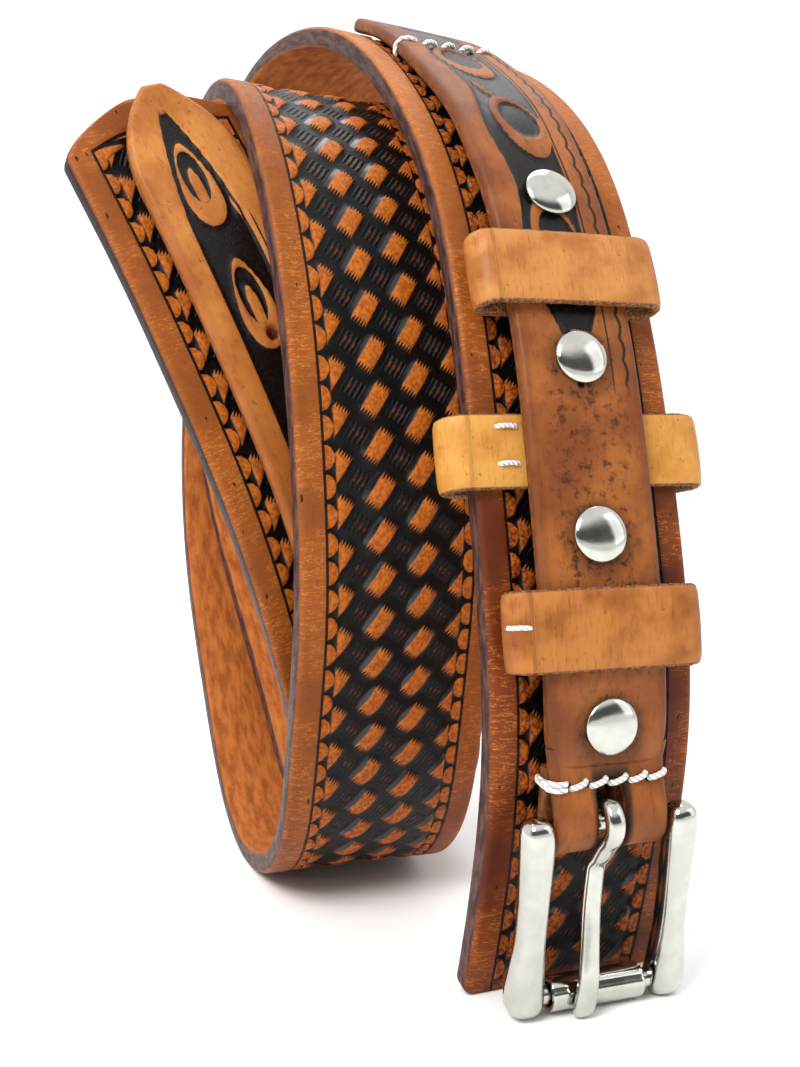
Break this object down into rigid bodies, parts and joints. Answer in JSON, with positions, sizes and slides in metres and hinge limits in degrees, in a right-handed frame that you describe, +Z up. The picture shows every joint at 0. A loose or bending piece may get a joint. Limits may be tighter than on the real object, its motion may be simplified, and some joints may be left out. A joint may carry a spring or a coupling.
{
  "type": "western leather belt",
  "caption": "Tooled western leather belt with a narrow billet, roller buckle, snap fasteners and leather keepers, coiled and standing on its own turns.",
  "frame": {"origin": "under the middle of the whole belt's bounding box, on the plane it rests on", "axes": "+Z up, -Y towards the side where the buckle hangs, +X to the right of a person who looks at the buckle; the strap's width runs roughly along X"},
  "size_m": [0.1008, 0.1828, 0.178],
  "materials": {
    "saddle_leather": "tooled, dyed dark in the ground, glossy",
    "tan_leather": "smooth, lightly waxed",
    "honey_leather": "smooth, lightly waxed",
    "nickel": "polished nickel plate"
  },
  "bodies": {
    "belt": {"main_strap": "saddle_leather", "buckle_billet": "tan_leather", "tip_billet": "tan_leather", "keeper_lower": "tan_leather", "keeper_middle": "honey_leather", "keeper_upper": "tan_leather", "snap_1": "nickel", "snap_2": "nickel", "snap_3": "nickel", "snap_4": "nickel", "tip_snap": "nickel"},
    "frame": {"buckle_frame": "nickel"},
    "roller": {"buckle_roller": "nickel"},
    "tongue": {"buckle_tongue": "nickel"}
  },
  "joints": [
    {"name": "buckle_swing", "type": "hinge", "parent": "belt", "child": "frame", "pos_m": [0.02503, -0.08449, 0.03258], "axis": [-0.9995, -0.0269, 0.0137], "range_deg": [-9, 40]},
    {"name": "tongue_swing", "type": "hinge", "parent": "frame", "child": "tongue", "pos_m": [0.02503, -0.08449, 0.03258], "axis": [-0.9995, -0.0269, 0.0137], "range_deg": [0, 30]},
    {"name": "roller_spin", "type": "hinge", "parent": "frame", "child": "roller", "pos_m": [0.02459, -0.08317, 0.00337], "axis": [-0.9995, -0.0269, 0.0137], "continuous": true}
  ]
}
